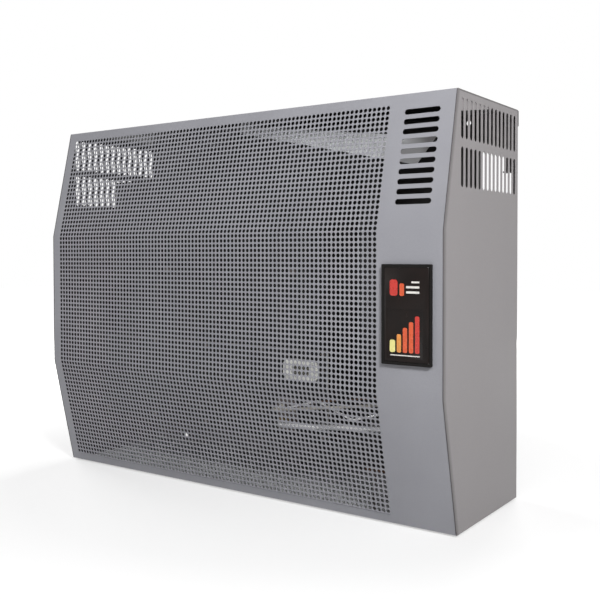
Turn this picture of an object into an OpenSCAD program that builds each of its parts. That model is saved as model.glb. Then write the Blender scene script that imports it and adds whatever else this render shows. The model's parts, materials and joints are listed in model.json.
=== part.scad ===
// Wall mounted gas heater: a folded sheet casing with a perforated, kinked front,
// a room-sealed heat exchanger inside it, and the gas controls behind a small door.
// Millimetres. The wall is the plane y = 0, the front faces -Y, +Z is up and +X is
// the right side as seen from the room. The origin is the middle of the wall face.

/* [Casing] */
// Width of the casing over both side panels
casing_w = 786; // [770:1:850]
// Height of the casing
casing_h = 610; // [600:1:680]
// Depth of the casing at its top and bottom edges
casing_d = 223; // [220:1:260]
// How far the middle of the front stands forward of its top and bottom edges
nose_d = 43; // [35:1:60]
// Height of the sloping upper part of the front
upper_h = 192.5; // [170:0.5:205]
// Height of the sloping lower part of the front
lower_h = 191; // [170:0.5:205]
// Thickness of the casing sheet
sheet_t = 1; // [0.8:0.1:1.2]
// Width of the folded edges that stiffen each panel
fold_w = 16; // [12:1:18]
// Width of the folded rear edge of each side panel
rear_fold_w = 8; // [6:1:12]
// Seam left open along the front corners
seam_gap = 0.8; // [0.5:0.1:1.5]
// Thickness of the rails that stand between the casing and the wall
rail_t = 3; // [2:0.5:4]

/* [Perforated front] */
// Diameter of each punched hole
hole_d = 10; // [6:0.5:11]
// Spacing of the punched holes both ways
hole_pitch = 15; // [14:0.5:24]
// Plain sheet left of the perforation
margin_left = 17; // [17:1:60]
// Plain sheet right of the perforation, which carries the louvres and the door
margin_right = 101; // [98:1:140]
// Plain sheet above the perforation
margin_top = 14; // [14:1:40]
// Plain sheet below the perforation
margin_bottom = 14; // [14:1:40]

/* [Louvres and side slots] */
// Number of round-ended louvres in the upper right margin
louvre_n = 10; // [6:1:11]
// Length of a louvre
louvre_l = 55; // [40:1:60]
// Height of a louvre
louvre_h = 8; // [5:0.5:9]
// Spacing of the louvres along the slope
louvre_pitch = 14.4; // [13:0.1:15]
// Distance from the right edge of the casing to the louvres
louvre_edge = 22.8; // [20:0.1:26]
// Distance from the top edge to the first louvre, along the slope
louvre_first = 27; // [22:0.5:32]
// Number of slots in each row of a side panel
slot_n = 14; // [8:1:14]
// Width of a side slot
slot_w = 9; // [6:0.5:10]
// Height of a side slot
slot_h = 55.5; // [40:0.5:58]
// Spacing of the side slots
slot_pitch = 14.9; // [13:0.1:15]
// Distance from the front edge of the top to the first slot
slot_first = 15; // [13:0.5:18]
// Distance from the top edge to the upper row
slot_top = 11; // [9:0.5:16]
// Distance from the start of the upper row to the start of the lower row
slot_row_step = 66.5; // [62:0.5:72]

/* [Wall fixing] */
// Height of the wall rails
rail_h = 24; // [20:1:30]
// Distance between the wall bolts across
bolt_span = 620; // [500:5:640]
// Diameter of the wall bolt holes
bolt_hole_d = 9; // [7:0.5:11]
// Length of the lower rail beyond its bolts
rail_end = 43; // [20:1:60]
// Distance of the rails from the top and bottom edges
rail_inset = 1; // [1:0.5:8]
// Depth of the rear turn-down of the top panel
top_rear_h = 62; // [40:1:66]

/* [Heat exchanger] */
// Width of the heat exchanger
chamber_w = 476; // [440:1:490]
// Depth of the heat exchanger
chamber_d = 130; // [110:1:138]
// Height of the heat exchanger
chamber_h = 439; // [400:1:450]
// Distance of its middle left of the middle of the casing
chamber_left = 98; // [90:1:105]
// Height of its top above the middle of the casing
chamber_top = 214; // [190:1:218]
// Thickness of the heat exchanger steel
chamber_t = 2; // [1.5:0.1:3]
// Radius of its upright edges
chamber_r = 16; // [10:1:22]
// Number of upright ribs pressed in its front
rib_n = 10; // [2:2:10]
// Spacing of the ribs
rib_pitch = 46; // [40:1:48]
// Radius of a rib
rib_r = 9; // [6:0.5:11]
// Width of the flange round the access opening
flange_w = 12; // [10:1:14]
// Height of the access cover
access_h = 143; // [130:1:150]
// Thickness of the access cover
access_t = 2; // [1.5:0.5:3]
// Thickness of the gaskets
gasket_t = 2; // [1:0.5:3]
// Depth of the air box between the heat exchanger and the back panel
air_box_d = 42; // [34:1:46]
// Width of the air box
air_box_w = 200; // [190:1:220]
// Height of the air box
air_box_h = 340; // [320:1:350]

/* [Flue] */
// Bore of the flue spigot
flue_d = 97; // [80:1:100]
// Bore of the air collar round it
air_d = 150.4; // [140:0.2:160]
// Height of the flue above the middle of the casing
flue_z = 60; // [40:1:66]
// Length of the flue spigot
flue_l = 15; // [10:1:16]
// Length of the air collar
air_l = 24; // [16:1:26]

/* [Control door] */
// Width of the bezel round the door
bezel_w = 75; // [72:1:78]
// Height of the bezel
bezel_h = 137; // [134:1:150]
// Distance from the right edge of the casing to the bezel
bezel_edge = 16; // [14:1:18]
// How far the bezel stands proud of the front
bezel_rise = 5.4; // [5.2:0.1:7]
// Width of the bezel's face
bezel_face = 4; // [3.5:0.1:5]
// Depth of the bezel's collar behind the sheet face
bezel_depth = 12; // [8:1:14]
// Thickness of the door
door_t = 2.2; // [2:0.1:2.4]
// Radius of the door's hinge barrel
barrel_r = 2.4; // [2.2:0.1:2.5]
// Radius of the hinge pins
pin_r = 1.2; // [1:0.05:1.3]
// Height of the middle of the door above the middle of the casing
door_z = -1.5; // [-10:0.5:5]

/* [Gas control] */
// Distance from the front face to the face of the valve cover
cover_set = 19; // [17:1:24]
// Depth of the valve cover
cover_d = 15; // [13:1:18]
// Width of the valve cover
cover_w = 64; // [60:1:66]
// Height of the valve cover
cover_h = 116; // [112:1:120]
// Width of the valve body
valve_w = 60; // [56:1:64]
// Depth of the valve body
valve_d = 63; // [58:1:70]
// Height of the valve body
valve_h = 74; // [70:1:80]
// Diameter of the control knob
knob_d = 42; // [36:1:46]
// Diameter of the valve spindle
spindle_d = 8; // [7:0.5:9]
// Travel of the knob when it is pushed in
knob_travel = 4; // [3:0.5:4]
// Diameter of the igniter button
button_d = 14; // [12:0.5:15]
// Travel of the igniter button
button_travel = 5; // [4:0.5:6]
// Diameter of the main gas pipe
pipe_d = 10; // [8:0.5:12]
// Diameter of the pilot pipe
pilot_d = 4; // [3:0.5:5]
// Diameter of the gas inlet thread
inlet_d = 20.96; // [16:0.01:22]

/* [Clearances] */
// Clearance of a sheet part lying beside another
fit = 0.2; // [0.1:0.05:0.3]
// Clearance of a part that slides or swings past another
swing_gap = 0.4; // [0.3:0.05:0.5]
// Radial clearance of a shaft in its bore
run_fit = 0.05; // [0.03:0.01:0.08]
// Radial clearance of a screw or pin that is held fast
held_fit = 0.02; // [0.01:0.01:0.04]

/* [Hidden] */
$fn = 48;
hole_fn = 24;
eps = 0.01;

// Planes of the casing
side_x = casing_w / 2;
top_z = casing_h / 2;
back_y = -rail_t;
front_y = back_y - casing_d;
nose_y = front_y - nose_d;
inner_x = side_x - sheet_t;
upper_len = norm([nose_d, upper_h]);
lower_len = norm([nose_d, lower_h]);
upper_tilt = atan2(upper_h, nose_d);
lower_tilt = atan2(lower_h, -nose_d);
upper_kink = top_z - upper_h;
lower_kink = lower_h - top_z;
fold_x = inner_x - fold_w;
rear_x = inner_x - rear_fold_w;

// Perforated field of the front
field_left = margin_left - side_x;
field_right = side_x - margin_right;
field_top = top_z - margin_top;
field_bottom = margin_bottom - top_z;

// Control door
bezel_x = side_x - bezel_edge - bezel_w / 2;
bezel_left = bezel_x - bezel_w / 2;
bezel_right = bezel_x + bezel_w / 2;
bezel_bar = 2.2;
bezel_lip = 1.2;
hinge_x = bezel_right - bezel_bar - swing_gap - barrel_r;
hinge_y = nose_y - swing_gap - barrel_r;
door_front_y = hinge_y - barrel_r;
door_h = bezel_h - 2 * bezel_face - 2 * swing_gap;
pin_hold = 3;
pin_reach = 10;

// Heat exchanger
panel_y = back_y - 2 * sheet_t;
chamber_x = -chamber_left;
chamber_back = panel_y - air_box_d;
chamber_front = chamber_back - chamber_d;
chamber_bottom = chamber_top - chamber_h;
access_w = chamber_w + 2 * flange_w;
access_z = chamber_bottom + 10;
cover_y = chamber_front - gasket_t;
cover_face_y = cover_y - access_t;
screw_in = flange_w / 2 + 1;
screw_r = 2;
head_r = 4;
head_h = 2.4;
nut_r = 6.35;
nut_h = 4;
carrier_w = 34;
carrier_h = 340;
carrier_dx = 190;
window_w = 160;
window_h = 44;
window_z = chamber_bottom + 60;
baffle_bolt_r = 3;
baffle_bolt_z = 52;
baffle_gap = 6;
baffle_t = 2;
sight_x = chamber_x + chamber_w / 2 - 36;
sight_z = access_z + access_h - 33;
sight_w = 68;
sight_h = 34;
glass_w = 50;
glass_h = 26;
glass_t = 3;
sight_lip = 1.6;
sight_screw_dx = 29;
sight_screw_r = 1.5;
pilot_x = chamber_x + chamber_w / 2 - 65;
pilot_z = access_z + 47;
pilot_dx = 9;
pilot_plug_r = 3;
plate_t = 1.5;
gas_entry_z = access_z + 25;
elbow_r = 7;
burner_y = chamber_front + chamber_d / 2;
burner_r = 16;
burner_wall = 1.5;

// Gas control
valve_x = bezel_x - 3.5;
valve_face_y = nose_y + cover_set;
valve_front_y = valve_face_y + cover_d;
valve_back_y = valve_front_y + valve_d;
valve_bottom = -24;
valve_mid = valve_bottom + valve_h / 2;
knob_z = 12;
knob_gap = 0.5;
knob_back_y = valve_face_y - knob_travel - knob_gap;
knob_l = 12;
collar_r = spindle_d / 2 + 4;
collar_l = 7;
spindle_l = 37;
button_z = -38;
igniter_r = button_d / 2 + 2;
igniter_l = 46;
port_dx = 18;
port_r = 9;
port_l = 20;
port_y = valve_back_y - 18;
inlet_x = valve_x + port_dx;
outlet_x = valve_x - port_dx;
port_bottom = valve_bottom - port_l;
inlet_end = 5 - top_z;
panel_edge = side_x - 58;
bracket_t = 2;
phial_r = 3.5;
phial_l = 80;
phial_x = inlet_x - 129;
phial_y = front_y + 40;
phial_z = 60 - top_z;

// Wall bolts
bolt_top = top_z - rail_inset - rail_h / 2;
bolt_bottom = rail_inset + rail_h / 2 - top_z;
bolt_access_r = 11;

// Front sheet line, moved inwards by o: bottom edge, lower kink, upper kink, top edge
function sheet_line(o) = let (cu = upper_h / upper_len, cl = lower_h / lower_len) [
    [front_y + o / cl, -top_z],
    [nose_y + o, lower_kink + lower_h * o * (1 / cl - 1) / nose_d],
    [nose_y + o, upper_kink - upper_h * o * (1 / cu - 1) / nose_d],
    [front_y + o / cu, top_z]
];
function reversed(list) = [for (i = [len(list) - 1:-1:0]) list[i]];
function unit(v) = v / norm(v);

// Draws its children, given in the y-z plane, from x0 to x1
module along_x(x0, x1) {
    translate([x0, 0, 0])
        rotate([90, 0, 90])
            linear_extrude(x1 - x0)
                children();
}

// Draws its children, given in the x-z plane, from y0 (front) to y1 (back)
module along_y(y0, y1) {
    translate([0, y1, 0])
        rotate([90, 0, 0])
            linear_extrude(y1 - y0)
                children();
}

// A box given by its low and high corners
module block(low, high) {
    translate(low)
        cube(high - low);
}

// A cylinder along y from y0 (front) to y1 (back)
module pin_y(x, z, y0, y1, r, fn = $fn) {
    translate([x, y1, z])
        rotate([90, 0, 0])
            cylinder(r = r, h = y1 - y0, $fn = fn);
}

// A cylinder along z
module pin_z(x, y, z0, z1, r, fn = $fn) {
    translate([x, y, z0])
        cylinder(r = r, h = z1 - z0, $fn = fn);
}

// A rectangle about a middle point
module rect_at(x, z, w, h) {
    translate([x - w / 2, z - h / 2])
        square([w, h]);
}

// A rectangle with round corners about a middle point
module round_rect(x, z, w, h, r) {
    translate([x, z]) {
        square([w - 2 * r, h], center = true);
        square([w, h - 2 * r], center = true);
        for (i = [-1, 1], j = [-1, 1])
            translate([i * (w / 2 - r), j * (h / 2 - r)])
                circle(r);
    }
}

// A round-ended slot, l long along x, w wide
module slot_2d(l, w) {
    square([l - w, w], center = true);
    for (i = [-1, 1])
        translate([i * (l - w) / 2, 0])
            circle(d = w, $fn = hole_fn);
}

// A tube or rod between two points
module rod(a, b, r, fn = hole_fn) {
    v = b - a;
    translate(a)
        rotate([0, acos(v[2] / norm(v)), atan2(v[1], v[0])])
            cylinder(r = r, h = norm(v), $fn = fn);
}

// Points of a route through the given corners, each corner rounded to the radius
function route(points, radius, steps) = let (last = len(points) - 1) [
    points[0],
    for (i = [1:last - 1])
        let (
            u = unit(points[i] - points[i - 1]),
            v = unit(points[i + 1] - points[i]),
            turn = acos(u * v),
            n = unit(v - u * (u * v)),
            c = points[i] - u * radius * tan(turn / 2) + n * radius
        )
        for (k = [0:steps])
            c + radius * (sin(turn * k / steps) * u - cos(turn * k / steps) * n),
    points[last]
];

// Direction of the route at each of its points
function headings(path) = let (last = len(path) - 1) [
    for (i = [0:last])
        unit(unit(path[min(i + 1, last)] - path[min(i, last - 1)]) + unit(path[max(i, 1)] - path[max(i - 1, 0)]))
];

// A side direction carried along the route without twist
function sides_along(t, start) = [
    for (i = 0, n = unit(start - t[0] * (t[0] * start)); i < len(t);
         i = i + 1, n = i < len(t) ? unit(n - t[i] * (t[i] * n)) : n)
        n
];

// A pipe of radius r through the points, each corner bent to the radius
module pipe(points, r, radius, sides = 12, steps = 5) {
    path = route(points, radius, steps);
    t = headings(path);
    n = sides_along(t, [0.3, 0.5, 0.8]);
    rings = len(path);
    polyhedron(
        points = [
            for (i = [0:rings - 1], j = [0:sides - 1])
                path[i] + r * (cos(360 * j / sides) * n[i] + sin(360 * j / sides) * cross(t[i], n[i]))
        ],
        faces = concat(
            [[for (j = [0:sides - 1]) j]],
            [[for (j = [sides - 1:-1:0]) (rings - 1) * sides + j]],
            [
                for (i = [0:rings - 2], j = [0:sides - 1], half = [0, 1])
                    let (a = i * sides + j, b = i * sides + (j + 1) % sides)
                    half == 0 ? [a, a + sides, b + sides] : [a, b + sides, b]
            ]
        )
    );
}

// Puts its children on a facet of the front: x as in the casing, y up the facet from
// its lower edge, z out of the face
module on_upper() {
    translate([0, nose_y, upper_kink])
        rotate([upper_tilt, 0, 0])
            children();
}
module on_middle() {
    translate([0, nose_y, lower_kink])
        rotate([90, 0, 0])
            children();
}
module on_lower() {
    translate([0, front_y, -top_z])
        rotate([lower_tilt, 0, 0])
            children();
}

// ---- Casing ----

module front_sheet_profile(first, last) {
    outer = sheet_line(0);
    inner = sheet_line(sheet_t);
    polygon(concat([for (i = [first:last]) outer[i]], reversed([for (i = [first:last]) inner[i]])));
}

module field_box() {
    block([field_left, nose_y - 1, field_bottom], [field_right, front_y + 5, field_top]);
}

module front_panel() {
    color("silver")
        difference() {
            union() {
                along_x(seam_gap - inner_x, inner_x - seam_gap)
                    front_sheet_profile(0, 3);
                block([fit - fold_x, front_y + 2 * sheet_t, sheet_t - top_z],
                      [fold_x - fit, front_y + fold_w, 2 * sheet_t - top_z]);
                along_x(fit - fold_x, fold_x - fit)
                    polygon([
                        sheet_line(sheet_t / 2)[0] + [0, sheet_t],
                        sheet_line(3 * sheet_t)[0] + [0, sheet_t],
                        sheet_line(3 * sheet_t)[0] + [0, 2 * sheet_t],
                        sheet_line(sheet_t / 2)[0] + [0, 2 * sheet_t]
                    ]);
            }
            field_box();
            louvres();
            along_y(nose_y - 1, nose_y + sheet_t + 1)
                rect_at(bezel_x, door_z, bezel_w - 2 * bezel_lip + 2 * fit, bezel_h - 2 * bezel_lip + 2 * fit);
            casing_screw_places()
                cylinder(r = screw_r + fit, h = 3 * sheet_t, $fn = hole_fn);
        }
}

module louvres() {
    on_upper()
        for (i = [0:louvre_n - 1])
            translate([
                side_x - louvre_edge - louvre_l / 2,
                upper_len - louvre_first - i * louvre_pitch,
                -sheet_t - 1
            ])
                linear_extrude(sheet_t + 2)
                    slot_2d(louvre_l, louvre_h);
}

// Holes of one perforated facet: rows of holes from y0 to y1 up the facet
module punched(y0, y1) {
    across = floor((field_right - field_left - 2) / hole_pitch);
    up = floor((y1 - y0) / hole_pitch);
    x0 = (field_left + field_right - (across - 1) * hole_pitch) / 2;
    z0 = (y0 + y1 - (up - 1) * hole_pitch) / 2;
    for (i = [0:across - 1], j = [0:up - 1])
        translate([x0 + i * hole_pitch, z0 + j * hole_pitch, -sheet_t - 1])
            cylinder(d = hole_d, h = sheet_t + 2, $fn = hole_fn);
}

module mesh_blank(first) {
    intersection() {
        along_x(field_left, field_right)
            front_sheet_profile(first, first + 1);
        field_box();
    }
}

module front_mesh_upper() {
    color("silver")
        difference() {
            mesh_blank(2);
            on_upper()
                punched(0, upper_len * (1 - margin_top / upper_h));
        }
}

module front_mesh_middle() {
    color("silver")
        difference() {
            mesh_blank(1);
            on_middle()
                punched(0, upper_kink - lower_kink);
        }
}

module front_mesh_lower() {
    color("silver")
        difference() {
            mesh_blank(0);
            on_lower()
                punched(lower_len * margin_bottom / lower_h, lower_len);
        }
}

// Outline of the casing from the side, moved in by o at the front, the top and the
// bottom, and by b at the back
module side_outline(o, b) {
    line = sheet_line(o);
    cu = upper_h / upper_len;
    cl = lower_h / lower_len;
    polygon([
        [back_y - b, o - top_z],
        [front_y + o / cl - nose_d * o / lower_h, o - top_z],
        line[1],
        line[2],
        [front_y + o / cu - nose_d * o / upper_h, top_z - o],
        [back_y - b, top_z - o]
    ]);
}

module side_panel() {
    difference() {
        union() {
            along_x(inner_x, side_x)
                side_outline(0, 0);
            difference() {
                along_x(fold_x, inner_x)
                    side_outline(sheet_t + held_fit, 0);
                along_x(fold_x - 1, inner_x)
                    side_outline(2 * sheet_t, sheet_t);
                // the rear fold is narrower than the others
                block([fold_x - 1, back_y - 2 * sheet_t, 2 * sheet_t - top_z],
                      [rear_x, back_y + 1, top_z - 2 * sheet_t]);
            }
        }
        for (i = [0:slot_n - 1], row = [0, 1])
            translate([
                inner_x - 1,
                front_y + slot_first + i * slot_pitch,
                top_z - slot_top - slot_h / 2 - row * slot_row_step
            ])
                rotate([0, 90, 0])
                    linear_extrude(sheet_t + 2)
                        slot_2d(slot_h, slot_w);
    }
}

module side_panel_right() {
    color("darkgray")
        side_panel();
}

module side_panel_left() {
    color("darkgray")
        mirror([1, 0, 0])
            side_panel();
}

// Holes that let a socket reach the wall bolts past the casing
module bolt_access() {
    for (s = [-1, 1], z = [bolt_bottom, bolt_top])
        pin_y(s * bolt_span / 2, z, panel_y - 1, back_y + eps, bolt_access_r);
}

module top_panel() {
    color("silver")
        difference() {
            top_panel_sheet();
            bolt_access();
        }
}

module top_panel_sheet() {
    block([fit - inner_x, front_y + 2 * sheet_t, top_z - sheet_t], [inner_x - fit, back_y, top_z]);
    block([fit - fold_x, back_y - sheet_t, top_z - top_rear_h], [fold_x - fit, back_y, top_z]);
    block([fit - rear_x, back_y - sheet_t, top_z - top_rear_h],
          [rear_x - fit, back_y, top_z - 2 * sheet_t - fit]);
    along_x(fit - fold_x, fold_x - fit)
        intersection() {
            polygon(concat(
                [sheet_line(sheet_t)[2], sheet_line(sheet_t)[3]],
                [sheet_line(2 * sheet_t)[3], sheet_line(2 * sheet_t)[2]]
            ));
            translate([nose_y, top_z - sheet_t - fold_w / 2])
                square([nose_d + fold_w, fold_w / 2 + sheet_t]);
        }
    block([fit - fold_x, front_y + 1.5 * sheet_t, top_z - 2 * sheet_t],
          [fold_x - fit, front_y + 4 * sheet_t, top_z]);
}

module bottom_panel() {
    pipe_cut_w = 80;
    pipe_cut_d = 60;
    color("silver")
        difference() {
            union() {
                block([fit - inner_x, front_y + 2 * sheet_t, -top_z], [inner_x - fit, back_y, sheet_t - top_z]);
                block([fit - fold_x, back_y - sheet_t, -top_z], [fold_x - fit, back_y, fold_w - top_z]);
            }
            translate([0, 0, -top_z - 1])
                linear_extrude(sheet_t + 2)
                    rect_at(inlet_x - 14, port_y, pipe_cut_w, pipe_cut_d);
            bolt_access();
            casing_screw_places()
                translate([0, 0, -2 * sheet_t])
                    cylinder(r = screw_r + fit, h = 4 * sheet_t, $fn = hole_fn);
        }
}

module casing_screw_places() {
    for (x = [-0.78, -0.26, 0.26, 0.78])
        translate([x * fold_x, front_y + fold_w / 2 + sheet_t, sheet_t - top_z])
            children();
}

module casing_screws() {
    color("gainsboro")
        casing_screw_places() {
            translate([0, 0, -sheet_t - head_h])
                cylinder(r = head_r, h = head_h);
            translate([0, 0, -sheet_t - eps])
                cylinder(r = screw_r, h = 8);
        }
}

module back_panel() {
    color("dimgray")
        difference() {
            union() {
                block([fit - inner_x, panel_y, 3 * sheet_t - top_z],
                      [panel_edge, panel_y + sheet_t, top_z - 3 * sheet_t]);
                block([panel_edge - sheet_t, panel_y - fold_w, 3 * sheet_t + fold_w - top_z],
                      [panel_edge, panel_y, top_z - top_rear_h]);
            }
            pin_y(chamber_x, flue_z, panel_y - 1, back_y, air_d / 2 + 2 + fit);
            bolt_access();
        }
}

module wall_rail(z0, half) {
    color("lightgray")
        difference() {
            block([-half, back_y, z0], [half, 0, z0 + rail_h]);
            for (s = [-1, 1])
                pin_y(s * bolt_span / 2, z0 + rail_h / 2, back_y - 1, 1, bolt_hole_d / 2);
        }
}

module wall_rail_upper() {
    wall_rail(top_z - rail_inset - rail_h, side_x);
}

module wall_rail_lower() {
    wall_rail(rail_inset - top_z, bolt_span / 2 + rail_end);
}

// A stepped plate at each rear corner that carries the casing on the upper rail
module hanging_brackets() {
    w = 15;
    inset = 2.5;
    drop = 98;
    lip = 12;
    color("gainsboro")
        for (s = [0, 1])
            mirror([s, 0, 0])
                // the left one stands on the back panel, the right one on the turn-down
                translate([inner_x - inset - w, back_y - (s + 1) * sheet_t, top_z - drop])
                    difference() {
                        union() {
                            block([0, -bracket_t, 0], [w, 0, drop - rail_h - 8]);
                            block([0, -bracket_t - lip, 0], [w, -bracket_t, bracket_t]);
                        }
                        pin_y(w / 2, drop / 2, -bracket_t - 1, 1, screw_r + fit, hole_fn);
                    }
}

// Bright folded sheet under the top: a level strip, a long wing that falls to the right
// with an apron along its front that widens over the controls, and a short wing that
// falls to the left and to the back
module air_deflector() {
    strip = 66;
    depth = 62;
    y0 = front_y + 100;
    right_l = 378;
    left_l = 130;
    back_tilt = 26;
    right_fall = 7;
    left_fall = 16;
    apron_start = 11;
    apron_fall = 12.4;
    apron_cut = 34;
    z0 = top_z - 2 * sheet_t;
    x1 = chamber_x + strip / 2;
    x0 = chamber_x - strip / 2;
    level_d = depth * cos(back_tilt);
    color("whitesmoke")
        union() {
            block([x0, y0, z0], [x1, y0 + level_d, z0 + sheet_t]);
            translate([x1, y0, z0])
                deflector_wing(right_l / cos(right_fall), level_d, 0, right_fall);
            along_y(y0, y0 + sheet_t)
                polygon([
                    [x1 - sheet_t, z0 + sheet_t / 2],
                    [x1 - sheet_t, z0 - apron_start],
                    [x1 + right_l - apron_cut, z0 - apron_start - (right_l - apron_cut) * tan(apron_fall)],
                    [x1 + right_l - 1, z0 - sheet_t / 2 - right_l * tan(right_fall)]
                ]);
            translate([x0, y0, z0])
                mirror([1, 0, 0])
                    deflector_wing(left_l / cos(left_fall), depth, back_tilt, left_fall);
            along_x(x0, x0 + 2 * sheet_t)
                polygon([
                    [y0, z0],
                    [y0 + level_d, z0],
                    [y0 + level_d, z0 - depth * sin(back_tilt)]
                ]);
        }
}

module deflector_wing(l, depth, back_tilt, fall) {
    rotate([-back_tilt, fall, 0])
        translate([-sheet_t, 0, -sheet_t])
            cube([l + sheet_t, depth, sheet_t]);
}

// ---- Heat exchanger ----

module chamber_plan(inset) {
    round_rect(chamber_x, (chamber_front + chamber_back) / 2, chamber_w - 2 * inset, chamber_d - 2 * inset,
               chamber_r - inset);
}

// Opening of the access cover, moved out by o
module access_opening(o) {
    rect_at(chamber_x, access_z + access_h / 2, access_w - 4 * flange_w + 2 * o, access_h - 2 * flange_w + 2 * o);
}

module access_outline() {
    round_rect(chamber_x, access_z + access_h / 2, access_w, access_h, 6);
}

module cover_screw_places() {
    z1 = access_z + access_h / 2;
    for (i = [-2:2], s = [-1, 1])
        translate([chamber_x + i * (access_w / 2 - screw_in) / 2, 0, z1 + s * (access_h / 2 - screw_in + 1.5)])
            children();
    for (s = [-1, 1])
        translate([chamber_x + s * (access_w / 2 - screw_in), 0, sight_z])
            children();
}

module baffle_bolt_places() {
    for (i = [-2, 4])
        translate([chamber_x + i * rib_pitch, chamber_front, baffle_bolt_z])
            children();
}

module heat_exchanger() {
    rib_bottom = access_z + access_h + 16;
    rib_top = chamber_top - 22;
    flange_t = 3;
    color([0.16, 0.16, 0.17])
        difference() {
            union() {
                translate([0, 0, chamber_bottom])
                    linear_extrude(chamber_h)
                        chamber_plan(0);
                along_y(chamber_front, chamber_front + flange_t)
                    access_outline();
                for (i = [0:rib_n - 1])
                    translate([chamber_x + (i - (rib_n - 1) / 2) * rib_pitch, chamber_front + rib_r - 5, 0]) {
                        pin_z(0, 0, rib_bottom, rib_top, rib_r);
                        for (z = [rib_bottom, rib_top])
                            translate([0, 0, z])
                                sphere(rib_r, $fn = 32);
                    }
            }
            translate([0, 0, chamber_bottom + chamber_t])
                linear_extrude(chamber_h - 2 * chamber_t)
                    chamber_plan(chamber_t);
            along_y(chamber_front - 1, chamber_front + flange_t + 1)
                access_opening(0);
            pin_y(chamber_x, flue_z, chamber_back - 2 * chamber_t, chamber_back + 1, flue_d / 2);
            along_y(chamber_back - 2 * chamber_t, chamber_back + 1)
                rect_at(chamber_x, window_z, window_w, window_h);
            cover_screw_places()
                pin_y(0, 0, chamber_front - 1, chamber_front + 12, screw_r + held_fit, hole_fn);
            baffle_bolt_places()
                pin_y(0, 0, -1, chamber_t + 1, baffle_bolt_r + held_fit, hole_fn);
        }
}

// Two channels that carry the heat exchanger on the back panel
module chamber_brackets() {
    color("gray")
        for (s = [-1, 1])
            translate([chamber_x + s * carrier_dx, 0, 0])
                difference() {
                    block([-carrier_w / 2, chamber_back, -carrier_h / 2], [carrier_w / 2, panel_y, carrier_h / 2]);
                    block([bracket_t - carrier_w / 2, chamber_back + bracket_t, -carrier_h / 2 - 1],
                          [carrier_w / 2 - bracket_t, panel_y - bracket_t, carrier_h / 2 + 1]);
                }
}

// Plate that hangs on two bolts inside the heat exchanger and makes the hot gas turn
module flue_baffle() {
    w = 415;
    h = 140;
    y0 = chamber_front + chamber_t + baffle_gap;
    color([0.3, 0.28, 0.26])
        difference() {
            along_y(y0, y0 + baffle_t)
                rect_at(chamber_x + 7.5, baffle_bolt_z - 2, w, h);
            baffle_bolt_places()
                pin_y(0, 0, 0, 20, baffle_bolt_r + held_fit, hole_fn);
        }
}

module baffle_bolts() {
    seat = chamber_t + baffle_gap;
    color("gainsboro")
        baffle_bolt_places()
            union() {
                pin_y(0, 0, -nut_h - 1, 0, nut_r, 6);
                pin_y(0, 0, -eps, seat + baffle_t + nut_h + 2, baffle_bolt_r);
                pin_y(0, 0, chamber_t, seat, baffle_bolt_r + 2);
                pin_y(0, 0, seat + baffle_t, seat + baffle_t + nut_h, nut_r, 6);
            }
}

module cover_gasket() {
    color("beige")
        difference() {
            along_y(cover_y, chamber_front)
                difference() {
                    access_outline();
                    access_opening(0);
                }
            cover_screw_places()
                pin_y(0, 0, cover_y - 1, chamber_front + 1, screw_r + fit, hole_fn);
        }
}

module access_cover() {
    color([0.2, 0.2, 0.21])
        difference() {
            along_y(cover_face_y, cover_y)
                access_outline();
            along_y(cover_face_y - 1, cover_y + 1)
                round_rect(sight_x, sight_z, glass_w - 10, glass_h - 6, 4);
            pin_y(pilot_x, gas_entry_z, cover_face_y - 1, cover_y + 1, elbow_r + fit);
            for (i = [-1, 0, 1])
                pin_y(pilot_x + i * pilot_dx, pilot_z, cover_face_y - 1, cover_y + 1,
                      pilot_plug_r + 2 * fit, hole_fn);
            for (s = [-1, 1])
                pin_y(sight_x + s * sight_screw_dx, sight_z, cover_face_y - 1, cover_y + 1,
                      sight_screw_r + held_fit, hole_fn);
            cover_screw_places()
                pin_y(0, 0, cover_face_y - 1, cover_y + 1, screw_r + fit, hole_fn);
        }
}

module cover_screws() {
    color("gainsboro")
        cover_screw_places()
            union() {
                pin_y(0, 0, cover_face_y - head_h, cover_face_y, head_r);
                pin_y(0, 0, cover_face_y - eps, chamber_front + 8, screw_r, hole_fn);
            }
}

module sight_frame() {
    color("lightgray")
        difference() {
            along_y(cover_face_y - glass_t - sight_lip, cover_face_y)
                round_rect(sight_x, sight_z, sight_w, sight_h, sight_h / 3);
            along_y(cover_face_y - glass_t, cover_face_y + 1)
                round_rect(sight_x, sight_z, glass_w + 2 * fit, glass_h + 2 * fit, 6);
            along_y(cover_face_y - glass_t - sight_lip - 1, cover_face_y + 1)
                round_rect(sight_x, sight_z, glass_w - 17, glass_h - 10, 3);
            for (s = [-1, 1])
                pin_y(sight_x + s * sight_screw_dx, sight_z, cover_face_y - glass_t - sight_lip - 1,
                      cover_face_y + 1, sight_screw_r + fit, hole_fn);
        }
}

module sight_glass() {
    color([0.75, 0.8, 0.75, 0.5])
        along_y(cover_face_y - glass_t, cover_face_y)
            round_rect(sight_x, sight_z, glass_w, glass_h, 6);
}

module sight_screws() {
    seat = cover_face_y - glass_t - sight_lip;
    color("gainsboro")
        for (s = [-1, 1])
            translate([sight_x + s * sight_screw_dx, 0, sight_z]) {
                pin_y(0, 0, seat - 1.8, seat, 2.8, hole_fn);
                pin_y(0, 0, seat - eps, cover_y, sight_screw_r, hole_fn);
            }
}

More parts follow.
